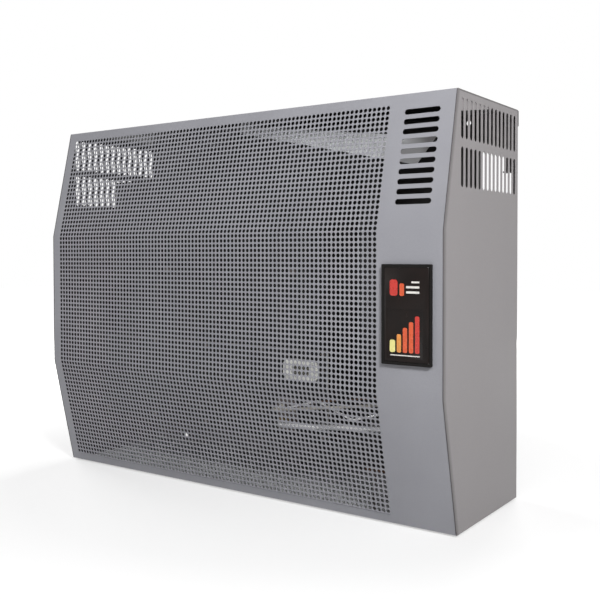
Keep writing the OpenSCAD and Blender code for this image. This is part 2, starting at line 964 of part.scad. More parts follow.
// Steel tube with a row of flame ports along its top and a waisted mouth on its right
module burner_tube() {
    x1 = pilot_x - 17;
    x0 = chamber_x - chamber_w / 2 + 36;
    z = gas_entry_z;
    mouth_l = 40;
    mouth_r = 14;
    waist_r = 11;
    port_n = 24;
    port_pitch = 13;
    port_w = 4;
    bore_r = burner_r - burner_wall;
    color("rosybrown")
        difference() {
            union() {
                rod([x0, burner_y, z], [x1 - mouth_l, burner_y, z], burner_r, 48);
                translate([x1 - mouth_l, burner_y, z])
                    rotate([0, 90, 0])
                        rotate_extrude()
                            polygon([
                                [0, 0], [burner_r, 0], [waist_r, 14], [waist_r, 26], [mouth_r, mouth_l], [0, mouth_l]
                            ]);
            }
            rod([x0 + 2, burner_y, z], [x1 - mouth_l - 1, burner_y, z], bore_r, 48);
            translate([x1 - mouth_l - 2, burner_y, z])
                rotate([0, 90, 0])
                    rotate_extrude()
                        polygon([
                            [0, 0], [bore_r, 0], [bore_r, 2], [waist_r - 2, 16], [waist_r - 2, 28],
                            [mouth_r - 2, mouth_l + 3], [0, mouth_l + 3]
                        ]);
            for (i = [0:port_n - 1])
                translate([x0 + 14 + i * port_pitch, burner_y, z + burner_r])
                    block([0, -7, -5], [port_w, 7, 1]);
        }
}

module burner_brackets() {
    floor_z = chamber_bottom + chamber_t;
    half = burner_r + 6;
    foot = 20;
    color("gray")
        for (x = [-170, 90])
            translate([chamber_x + x, burner_y, 0])
                difference() {
                    union() {
                        block([0, -half, floor_z], [bracket_t, half, gas_entry_z + 4]);
                        block([0, -half, floor_z], [foot, half, floor_z + bracket_t]);
                    }
                    rod([-1, 0, gas_entry_z], [bracket_t + 1, 0, gas_entry_z], burner_r + held_fit, 48);
                }
}

// Brass elbow: in through the cover, then a nozzle that points into the burner's mouth
module injector() {
    y0 = cover_face_y - 16;
    nut_back = cover_face_y - plate_t;
    jet_r = elbow_r / 2;
    color("goldenrod")
        union() {
            pin_y(pilot_x, gas_entry_z, nut_back, burner_y + elbow_r, elbow_r);
            pin_y(pilot_x, gas_entry_z, nut_back - 8, nut_back, elbow_r + 4, 6);
            difference() {
                pin_y(pilot_x, gas_entry_z, y0, nut_back - 6, elbow_r + 1);
                pin_y(pilot_x, gas_entry_z, y0 - 1, y0 + 6, pipe_d / 2 + held_fit, hole_fn);
            }
            rod([pilot_x, burner_y, gas_entry_z], [pilot_x - 14, burner_y, gas_entry_z], elbow_r - 1);
            rod([pilot_x - 13, burner_y, gas_entry_z], [pilot_x - 20, burner_y, gas_entry_z], jet_r);
        }
}

module pilot_plate() {
    w = 38;
    h = pilot_z - gas_entry_z + 34;
    color("whitesmoke")
        difference() {
            along_y(cover_face_y - plate_t, cover_face_y)
                round_rect(pilot_x, (pilot_z + gas_entry_z) / 2, w, h, 5);
            pin_y(pilot_x, gas_entry_z, cover_face_y - 2, cover_face_y + 1, elbow_r + fit);
            for (i = [-1, 0, 1])
                pin_y(pilot_x + i * pilot_dx, pilot_z, cover_face_y - 2, cover_face_y + 1,
                      pilot_plug_r + held_fit, hole_fn);
        }
}

module pilot_burner() {
    y1 = burner_y - 14;
    hood_r = 5;
    color("silver")
        difference() {
            union() {
                pin_y(pilot_x, pilot_z, cover_face_y - 8, y1, pilot_plug_r, hole_fn);
                pin_y(pilot_x, pilot_z, cover_face_y - 5, cover_face_y - plate_t, pilot_plug_r + 1, 6);
                pin_z(pilot_x, y1, pilot_z - 5, pilot_z + 14, hood_r);
            }
            pin_z(pilot_x, y1, pilot_z + 6, pilot_z + 15, hood_r - 1.6);
        }
}

module thermocouple() {
    y1 = burner_y - 20;
    x = pilot_x + pilot_dx;
    end_x = valve_x - 4.5;
    end_y = valve_back_y - 6;
    color("peru")
        union() {
            pin_y(x, pilot_z, cover_face_y - 6, y1, pilot_plug_r, hole_fn);
            pin_y(x, pilot_z, cover_face_y - 5, cover_face_y - plate_t, pilot_plug_r + 1, 6);
            translate([x, y1, pilot_z])
                sphere(pilot_plug_r, $fn = 24);
            pipe([
                [x, cover_face_y - 6, pilot_z],
                [x, cover_face_y - 16, pilot_z],
                [pilot_x + 75, cover_face_y - 16, pilot_z + 19],
                [outlet_x - 28, end_y + 2, pilot_z + 38],
                [end_x, end_y, pilot_z + 48],
                [end_x, end_y, valve_bottom - 12]
            ], 1.5, 8, 8, 4);
            pin_z(end_x, end_y, valve_bottom - 12, valve_bottom, 4, 6);
        }
}

module spark_electrode() {
    y1 = burner_y - 20;
    x = pilot_x - pilot_dx;
    wire_r = 0.8;
    color("white")
        union() {
            pin_y(x, pilot_z, cover_face_y - 14, y1 - 14, pilot_plug_r, hole_fn);
            pin_y(x, pilot_z, cover_face_y - 4, cover_face_y - plate_t, pilot_plug_r + 1.4, hole_fn);
            pin_y(x, pilot_z, y1 - 15, y1, wire_r, 16);
            rod([x, y1 - 0.5, pilot_z], [x + 3, y1 + 4, pilot_z + 8], wire_r, 16);
        }
}

module air_box() {
    z = flue_z + 90 - air_box_h / 2;
    color("gray")
        along_y(chamber_back, panel_y)
            difference() {
                rect_at(chamber_x, z, air_box_w, air_box_h);
                rect_at(chamber_x, z, air_box_w - 2 * sheet_t, air_box_h - 2 * sheet_t);
            }
}

module flue_spigot() {
    color("dimgray")
        difference() {
            union() {
                pin_y(chamber_x, flue_z, chamber_back, chamber_back + flue_l, flue_d / 2 + 1.5, 96);
                pin_y(chamber_x, flue_z, chamber_back, chamber_back + 1.5, flue_d / 2 + 12, 96);
            }
            pin_y(chamber_x, flue_z, chamber_back - 1, chamber_back + flue_l + 1, flue_d / 2, 96);
        }
}

module air_collar() {
    r = air_d / 2;
    color("lightgray")
        difference() {
            union() {
                pin_y(chamber_x, flue_z, back_y - air_l, back_y, r + 2, 96);
                pin_y(chamber_x, flue_z, panel_y - 1.5, panel_y, r + 9, 96);
            }
            pin_y(chamber_x, flue_z, back_y - air_l - 1, back_y + 1, r, 96);
        }
}

// ---- Control door ----

module control_bezel() {
    front = nose_y - bezel_rise;
    color([0.12, 0.12, 0.12])
        difference() {
            union() {
                along_y(front, nose_y)
                    round_rect(bezel_x, door_z, bezel_w, bezel_h, 1.5);
                along_y(nose_y - 1, nose_y + bezel_depth)
                    rect_at(bezel_x, door_z, bezel_w - 2 * bezel_lip, bezel_h - 2 * bezel_lip);
            }
            block([bezel_left + bezel_face, front - 1, door_z - bezel_h / 2 + bezel_face],
                  [bezel_right - bezel_bar, nose_y, door_z + bezel_h / 2 - bezel_face]);
            along_y(nose_y - 1, nose_y + bezel_depth + 1)
                rect_at(bezel_x, door_z, bezel_w - 2 * bezel_face, bezel_h - 2 * bezel_face);
            for (s = [-1, 1])
                pin_z(hinge_x, hinge_y, door_z + s * (bezel_h / 2 - bezel_face + pin_hold / 2) - pin_hold / 2,
                      door_z + s * (bezel_h / 2 - bezel_face + pin_hold / 2) + pin_hold / 2 + eps, pin_r + held_fit, 32);
        }
}

module control_door() {
    free_x = bezel_left + bezel_face + swing_gap;
    color([0.09, 0.08, 0.08])
        difference() {
            union() {
                block([free_x, door_front_y, door_z - door_h / 2], [hinge_x, door_front_y + door_t, door_z + door_h / 2]);
                pin_z(hinge_x, hinge_y, door_z - door_h / 2, door_z + door_h / 2, barrel_r);
                block([free_x + 4, door_front_y + door_t - eps, door_z - 8], [free_x + 6, nose_y + 4, door_z + 8]);
                block([free_x + 3.4, nose_y + 2.6, door_z - 8], [free_x + 6, nose_y + 4, door_z + 8]);
                for (z = [-1, 1])
                    block([free_x + 8, door_front_y + door_t - eps, door_z + z * 40 - 0.8],
                          [hinge_x - 8, door_front_y + door_t + 1.5, door_z + z * 40 + 0.8]);
            }
            for (s = [-1, 1])
                pin_z(hinge_x, hinge_y, door_z + s * (door_h / 2 - pin_reach / 2) - pin_reach / 2 - 1,
                      door_z + s * (door_h / 2 - pin_reach / 2) + pin_reach / 2 + 1, pin_r + run_fit, 32);
            along_y(door_front_y - 1, door_front_y + 0.5)
                rect_at((free_x + hinge_x - barrel_r) / 2, door_z - 26, hinge_x - barrel_r - free_x - 10, door_h - 62);
        }
}

module door_pins() {
    z1 = bezel_h / 2 - bezel_face + pin_hold;
    color("silver")
        for (s = [-1, 1])
            pin_z(hinge_x, hinge_y, door_z + s * (z1 - (pin_hold + pin_reach) / 2) - (pin_hold + pin_reach) / 2,
                  door_z + s * (z1 - (pin_hold + pin_reach) / 2) + (pin_hold + pin_reach) / 2, pin_r, 32);
}

// ---- Gas control ----

module valve_body() {
    ports = [inlet_x, outlet_x];
    color("lightsteelblue")
        difference() {
            union() {
                block([valve_x - valve_w / 2, valve_front_y, valve_bottom],
                      [valve_x + valve_w / 2, valve_back_y, valve_bottom + valve_h]);
                for (x = ports)
                    pin_z(x, port_y, port_bottom, valve_bottom + eps, port_r);
                rod([valve_x - valve_w / 2 - 10, valve_front_y + 24, valve_mid + 8],
                    [valve_x - valve_w / 2 + 1, valve_front_y + 24, valve_mid + 8], 12, 32);
                pin_z(valve_x + 12, valve_front_y + 24, valve_bottom + valve_h - eps, valve_bottom + valve_h + 8, 14);
            }
            pin_y(valve_x, knob_z, valve_front_y - 1, valve_front_y + 20, spindle_d / 2 + 2 * run_fit);
            pin_z(inlet_x, port_y, port_bottom - 1, port_bottom + 10, pipe_d / 2 + held_fit, hole_fn);
            pin_z(outlet_x, port_y, port_bottom - 1, port_bottom + 10, pipe_d / 2 + held_fit, hole_fn);
            valve_screw_places()
                pin_y(0, 0, valve_back_y - 12, valve_back_y + 1, screw_r + held_fit, hole_fn);
            for (s = [-1, 1])
                block([valve_x + s * 22 - 3, valve_front_y + 10, valve_bottom + valve_h - 6],
                      [valve_x + s * 22 + 3, valve_front_y + 14, valve_bottom + valve_h + 1]);
        }
}

module valve_cover() {
    color("gainsboro")
        difference() {
            along_y(valve_face_y, valve_front_y)
                round_rect(valve_x, door_z, cover_w, cover_h, 6);
            pin_y(valve_x, knob_z, valve_face_y - 1, valve_front_y + 1, collar_r + swing_gap);
            pin_y(valve_x, button_z, valve_face_y - 1, valve_front_y + 1, igniter_r + held_fit);
            along_y(valve_face_y + 2, valve_front_y + 1)
                difference() {
                    round_rect(valve_x, door_z, cover_w - 4, cover_h - 4, 4);
                    translate([valve_x, knob_z])
                        circle(collar_r + swing_gap + 2);
                    translate([valve_x, button_z])
                        circle(igniter_r + 2);
                    for (s = [-1, 1])
                        rect_at(valve_x + s * (cover_w / 2 - 8), knob_z + 14, 4, 30);
                }
        }
}

module valve_screw_places() {
    for (s = [-1, 1])
        translate([valve_x + s * (valve_w / 2 - 8), 0, valve_mid + s * (valve_h / 2 - 8)])
            children();
}

module valve_bracket() {
    z0 = valve_bottom - 4;
    z1 = valve_bottom + valve_h + 4;
    color("lightgray")
        difference() {
            union() {
                block([panel_edge, valve_back_y, z0], [panel_edge + bracket_t, panel_y, z1]);
                block([valve_x - valve_w / 2 - 3, valve_back_y, z0],
                      [valve_x + valve_w / 2 + 3, valve_back_y + bracket_t, z1]);
            }
            valve_screw_places()
                pin_y(0, 0, valve_back_y - 1, valve_back_y + bracket_t + 1, screw_r + fit, hole_fn);
            along_x(panel_edge - 1, panel_edge + bracket_t + 1)
                translate([(valve_back_y + panel_y) / 2, valve_mid])
                    slot_2d(70, 30);
        }
}

module valve_screws() {
    color("gainsboro")
        valve_screw_places()
            union() {
                pin_y(0, 0, valve_back_y + bracket_t, valve_back_y + bracket_t + head_h, head_r);
                pin_y(0, 0, valve_back_y - 10, valve_back_y + bracket_t + eps, screw_r, hole_fn);
            }
}

module push_collar() {
    y0 = knob_back_y + 1;
    color("white")
        difference() {
            pin_y(valve_x, knob_z, y0, y0 + collar_l, collar_r);
            pin_y(valve_x, knob_z, y0 - 1, y0 + collar_l + 1, spindle_d / 2 + run_fit);
        }
}

module valve_spindle() {
    y0 = knob_back_y - knob_l + 3;
    color("silver")
        difference() {
            pin_y(valve_x, knob_z, y0, y0 + spindle_l, spindle_d / 2);
            block([valve_x - spindle_d, y0 - 1, knob_z + spindle_d / 2 - 1], [valve_x + spindle_d, y0 + 8, knob_z + spindle_d]);
        }
}

module control_knob() {
    r = knob_d / 2;
    front = knob_back_y - knob_l;
    color([0.15, 0.15, 0.15])
        difference() {
            union() {
                translate([valve_x, knob_back_y, knob_z])
                    rotate([90, 0, 0])
                        rotate_extrude($fn = 96)
                            polygon([[0, 0], [r, 0], [r, 3], [r - 3, 4.5], [r - 5, knob_l - 1.5], [r - 6.5, knob_l], [0, knob_l]]);
            }
            for (i = [0:17])
                translate([valve_x, knob_back_y, knob_z])
                    rotate([0, i * 20, 0])
                        rotate([90, 0, 0])
                            translate([r - 3.6, 0, 5])
                                cylinder(r = 1.4, h = knob_l, $fn = 16);
            pin_y(valve_x, knob_z, front + 3 - held_fit, knob_back_y + 1, spindle_d / 2 + held_fit);
            block([valve_x - 0.9, front - 1, knob_z + r - 13], [valve_x + 0.9, front + 0.8, knob_z + r - 6]);
        }
}

module igniter_body() {
    y0 = valve_face_y - 1;
    color([0.2, 0.2, 0.2])
        difference() {
            union() {
                pin_y(valve_x, button_z, y0, y0 + igniter_l, igniter_r);
                pin_y(valve_x, button_z, y0, y0 + 1, igniter_r + 1.2);
                pin_y(valve_x, button_z, y0 + igniter_l - eps, y0 + igniter_l + 8, 3.5);
            }
            pin_y(valve_x, button_z, y0 - 1, y0 + 8 + button_travel + 6, button_d / 2 + run_fit);
        }
}

module igniter_button() {
    y0 = valve_face_y - 1 - button_travel - 3;
    color("crimson")
        difference() {
            pin_y(valve_x, button_z, y0, y0 + 14, button_d / 2);
            translate([valve_x, y0 - 36, button_z])
                sphere(r = 36.8, $fn = 64);
        }
}

module main_pipe() {
    y_run = cover_face_y - 9 - pipe_d / 2;
    color("lightgray")
        pipe([
            [outlet_x, port_y, port_bottom + 10],
            [outlet_x, port_y, gas_entry_z + 20],
            [outlet_x - 34, y_run - 8, gas_entry_z + 14],
            [pilot_x + 42, y_run - 8, gas_entry_z],
            [pilot_x + 20, cover_face_y - 30, gas_entry_z],
            [pilot_x, cover_face_y - 30, gas_entry_z],
            [pilot_x, cover_face_y - 10, gas_entry_z]
        ], pipe_d / 2, 11);
}

module pilot_pipe() {
    color("gainsboro")
        pipe([
            [pilot_x, cover_face_y - 8, pilot_z],
            [pilot_x, cover_face_y - 26, pilot_z],
            [pilot_x + 76, cover_face_y - 26, pilot_z + 21],
            [pilot_x + 140, cover_face_y - 26, pilot_z - 1],
            [outlet_x - 28, valve_back_y + 6, pilot_z + 18],
            [valve_x + 5, valve_back_y - 6, pilot_z + 28],
            [valve_x + 5, valve_back_y - 6, valve_bottom]
        ], pilot_d / 2, 8, 10);
}

module ignition_lead() {
    y0 = valve_face_y - 1 + igniter_l + 8;
    color("saddlebrown")
        pipe([
            [pilot_x - pilot_dx, cover_face_y - 14, pilot_z],
            [pilot_x - pilot_dx, cover_face_y - 35, pilot_z],
            [pilot_x + 80, cover_face_y - 36, pilot_z + 12],
            [outlet_x - 20, port_y - 24, pilot_z + 32],
            [valve_x, y0 + 10, pilot_z + 52],
            [valve_x, y0 + 10, button_z],
            [valve_x, y0, button_z]
        ], 2.2, 8, 8, 4);
}

module inlet_pipe() {
    color("lightgray")
        pin_z(inlet_x, port_y, inlet_end + 34, port_bottom + 10, pipe_d / 2);
}

module inlet_union() {
    color("goldenrod")
        difference() {
            union() {
                pin_z(inlet_x, port_y, inlet_end, inlet_end + 18, inlet_d / 2);
                pin_z(inlet_x, port_y, inlet_end + 18, inlet_end + 30, 14, 6);
                pin_z(inlet_x, port_y, inlet_end + 30, inlet_end + 42, 9);
            }
            pin_z(inlet_x, port_y, inlet_end + 34, inlet_end + 43, pipe_d / 2 + held_fit);
            pin_z(inlet_x, port_y, inlet_end - 1, inlet_end + 35, pipe_d / 2 - 1);
        }
}

module thermostat_phial() {
    end_x = phial_x + phial_l;
    color("peru")
        union() {
            rod([phial_x, phial_y, phial_z], [end_x, phial_y, phial_z], phial_r);
            pipe([
                [end_x, phial_y, phial_z],
                [end_x + 10, phial_y, phial_z],
                [end_x + 10, phial_y + 6, phial_z + 20],
                [inlet_x + 19, port_y - 20, valve_bottom - 30],
                [inlet_x + 8, port_y - 20, valve_bottom - 14],
                [inlet_x + 8, port_y - 20, valve_bottom]
            ], 1, 4, 8, 4);
        }
}

module phial_clips() {
    w = 6;
    foot = 14;
    inset = 12;
    ring_r = phial_r + 1.5;
    color("silver")
        for (x = [phial_x + inset, phial_x + phial_l - inset - w])
            translate([x, phial_y, 0])
                difference() {
                    union() {
                        block([0, -1, sheet_t - top_z], [w, 1, phial_z - 3]);
                        block([0, -1, sheet_t - top_z], [w, foot, 2 * sheet_t - top_z]);
                        rod([0, 0, phial_z], [w, 0, phial_z], ring_r);
                    }
                    rod([-1, 0, phial_z], [w + 1, 0, phial_z], phial_r + held_fit);
                    block([-1, 1 - phial_r, phial_z], [w + 1, phial_r - 1, phial_z + 6]);
                }
}

front_panel();
front_mesh_upper();
front_mesh_middle();
front_mesh_lower();
side_panel_right();
side_panel_left();
top_panel();
bottom_panel();
back_panel();
wall_rail_upper();
wall_rail_lower();
hanging_brackets();
casing_screws();
air_deflector();
heat_exchanger();
chamber_brackets();
flue_baffle();
baffle_bolts();
access_cover();
cover_gasket();
cover_screws();
sight_frame();
sight_glass();
sight_screws();
burner_tube();
burner_brackets();
injector();
pilot_plate();
pilot_burner();
thermocouple();
spark_electrode();
air_box();
flue_spigot();
air_collar();
control_bezel();
control_door();
door_pins();
valve_body();
valve_cover();
valve_bracket();
valve_screws();
push_collar();
valve_spindle();
control_knob();
igniter_body();
igniter_button();
main_pipe();
pilot_pipe();
ignition_lead();
inlet_pipe();
inlet_union();
thermostat_phial();
phial_clips();
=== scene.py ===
import bpy, bmesh, json, math
from mathutils import Matrix, Vector


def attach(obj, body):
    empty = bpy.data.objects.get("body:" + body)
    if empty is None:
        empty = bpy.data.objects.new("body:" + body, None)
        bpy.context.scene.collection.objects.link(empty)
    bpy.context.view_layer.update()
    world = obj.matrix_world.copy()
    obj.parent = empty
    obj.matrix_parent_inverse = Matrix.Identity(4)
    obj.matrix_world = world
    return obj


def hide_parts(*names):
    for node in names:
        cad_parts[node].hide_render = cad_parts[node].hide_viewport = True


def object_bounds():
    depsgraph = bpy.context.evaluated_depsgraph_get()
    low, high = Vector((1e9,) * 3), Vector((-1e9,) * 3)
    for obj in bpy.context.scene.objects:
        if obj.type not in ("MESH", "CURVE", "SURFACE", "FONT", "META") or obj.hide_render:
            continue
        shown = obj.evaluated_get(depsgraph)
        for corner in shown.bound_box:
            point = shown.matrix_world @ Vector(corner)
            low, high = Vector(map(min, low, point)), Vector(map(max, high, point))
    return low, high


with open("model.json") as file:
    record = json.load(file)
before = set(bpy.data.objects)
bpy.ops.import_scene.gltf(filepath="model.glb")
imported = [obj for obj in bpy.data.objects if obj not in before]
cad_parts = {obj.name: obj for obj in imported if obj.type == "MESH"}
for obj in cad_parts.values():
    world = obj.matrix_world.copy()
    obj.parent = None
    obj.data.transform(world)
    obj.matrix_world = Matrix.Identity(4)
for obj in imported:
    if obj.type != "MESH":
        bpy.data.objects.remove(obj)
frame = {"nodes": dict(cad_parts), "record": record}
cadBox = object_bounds()
nodes = frame["nodes"]
scene = bpy.context.scene
mm = 0.001
print("frame loaded:", len(nodes), "parts")


# place in metres, angles in degrees, lens and film in mm
cameraPlace = {
    "spot": (0.8786, -1.2938, 0.0844),
    "lens": 51.0,
    "film": 36,
    "turn": 34.96,      # towards -X
    "dip": 1.40,        # below the horizon
    "roll": -0.11,
    "shiftY": -0.0463,
    "nearest": 0.02,
}


def turned(axis, degrees):
    return Matrix.Rotation(math.radians(degrees), 4, axis)


def addCamera(s):
    data = bpy.data.cameras.new("camera")
    data.lens = s["lens"]
    data.sensor_width = s["film"]
    data.shift_y = s["shiftY"]
    data.clip_start = s["nearest"]
    camera = bpy.data.objects.new("camera", data)
    camera.matrix_world = (Matrix.Translation(s["spot"]) @ turned("Z", s["turn"])
                           @ turned("X", 90 - s["dip"]) @ turned("Z", s["roll"]))
    scene.collection.objects.link(camera)
    scene.camera = camera


addCamera(cameraPlace)


# turns a finished bmesh into an object of the scene
def newPiece(name, bm):
    mesh = bpy.data.meshes.new(name)
    bm.to_mesh(mesh)
    bm.free()
    piece = bpy.data.objects.new(name, mesh)
    scene.collection.objects.link(piece)
    return piece


def vertsOf(geometry):
    return [v for v in geometry if isinstance(v, bmesh.types.BMVert)]


def lengthAlong(edge, axis):
    return abs(edge.verts[0].co[axis] - edge.verts[1].co[axis])


# a colour of 0 to 255 in sRGB, as the shader's linear one
def paintTone(r, g, b):
    linear = [c / 255 / 12.92 if c <= 10 else ((c / 255 + 0.055) / 1.055) ** 2.4 for c in (r, g, b)]
    return (*linear, 1.0)


def computed(tree, operation, first, second):
    step = tree.nodes.new("ShaderNodeMath")
    step.operation = operation
    for place, value in enumerate((first, second)):
        if isinstance(value, (int, float)):
            step.inputs[place].default_value = value
        else:
            tree.links.new(value, step.inputs[place])
    return step.outputs[0]


def objectAxes(tree):
    coords = tree.nodes.new("ShaderNodeTexCoord")
    split = tree.nodes.new("ShaderNodeSeparateXYZ")
    tree.links.new(coords.outputs["Object"], split.inputs["Vector"])
    return split.outputs


def pattern(tree, kind, scale, stretch=(1, 1, 1), detail=3.0):
    coords = tree.nodes.new("ShaderNodeTexCoord")
    mapping = tree.nodes.new("ShaderNodeMapping")
    mapping.inputs["Scale"].default_value = stretch
    texture = tree.nodes.new("ShaderNodeTexVoronoi" if kind == "cells" else "ShaderNodeTexNoise")
    texture.inputs["Scale"].default_value = scale
    if kind == "noise":
        texture.inputs["Detail"].default_value = detail
    tree.links.new(coords.outputs["Object"], mapping.inputs["Vector"])
    tree.links.new(mapping.outputs["Vector"], texture.inputs["Vector"])
    if kind == "cells":
        split = tree.nodes.new("ShaderNodeSeparateColor")
        tree.links.new(texture.outputs["Color"], split.inputs["Color"])
        return split.outputs["Red"]
    return texture.outputs["Fac"]


def ranged(tree, value, low, high, fromLow=0.3, fromHigh=0.7):
    spread = tree.nodes.new("ShaderNodeMapRange")
    for key, number in (("From Min", fromLow), ("From Max", fromHigh), ("To Min", low), ("To Max", high)):
        spread.inputs[key].default_value = number
    tree.links.new(value, spread.inputs["Value"])
    return spread.outputs["Result"]


# first and second: a colour or the socket that gives it
def mixed(tree, amount, first, second):
    mix = tree.nodes.new("ShaderNodeMix")
    mix.data_type = "RGBA"
    tree.links.new(amount, mix.inputs["Factor"])
    for socket, value in (("A", first), ("B", second)):
        target = [i for i in mix.inputs if i.name == socket and i.type == "RGBA"][0]
        if isinstance(value, tuple):
            target.default_value = value
        else:
            tree.links.new(value, target)
    return [o for o in mix.outputs if o.type == "RGBA"][0]


# lays a colour over the one that the material has
def layOver(tree, amount, colour):
    base = tree.nodes["Principled BSDF"].inputs["Base Color"]
    tree.links.new(mixed(tree, amount, base.links[0].from_socket, colour), base)


def bumped(tree, shader, layers):
    last = None
    for height, depth in layers:
        bump = tree.nodes.new("ShaderNodeBump")
        bump.inputs["Strength"].default_value = 1.0
        bump.inputs["Distance"].default_value = depth
        tree.links.new(height, bump.inputs["Height"])
        if last:
            tree.links.new(last, bump.inputs["Normal"])
        last = bump.outputs["Normal"]
    tree.links.new(last, shader.inputs["Normal"])


lookSockets = {
    "metal": "Metallic", "specular": "Specular IOR Level", "coat": "Coat Weight", "sheen": "Sheen Weight",
    "clear": "Transmission Weight",
}
fleckFades = {"cells": (0.0, 1.0), "noise": (0.35, 0.65)}    # the grain's values between which flecks set in


# tones: the surface's darkest and lightest colour; patch: scale of its slow cloudiness;
# grain: kind, scale, stretch and depth of its fine relief; waves: scale and depth of a coarser one
def finish(name, look):
    material = bpy.data.materials.new(name)
    material.use_nodes = True
    tree = material.node_tree
    shader = tree.nodes["Principled BSDF"]
    for key, socket in lookSockets.items():
        if key in look:
            shader.inputs[socket].default_value = look[key]
    cloud = pattern(tree, "noise", look["patch"], detail=2.0)
    kind, scale, stretch, depth = look["grain"]
    grain = pattern(tree, kind, scale, stretch)
    dark, light = (paintTone(*tone) for tone in look["tones"])
    base = mixed(tree, ranged(tree, cloud, 0, 1), dark, light)
    if "fleck" in look:
        amount = ranged(tree, grain, 0, look["fleckAmount"], *fleckFades[kind])
        base = mixed(tree, amount, base, paintTone(*look["fleck"]))
    tree.links.new(base, shader.inputs["Base Color"])
    rough = ranged(tree, grain if kind == "cells" else cloud, *look["rough"])
    tree.links.new(rough, shader.inputs["Roughness"])
    waves = [(pattern(tree, "noise", size, detail=1.0), rise) for size, rise in look.get("waves", [])]
    bumped(tree, shader, [(grain, depth)] + waves)
    return material


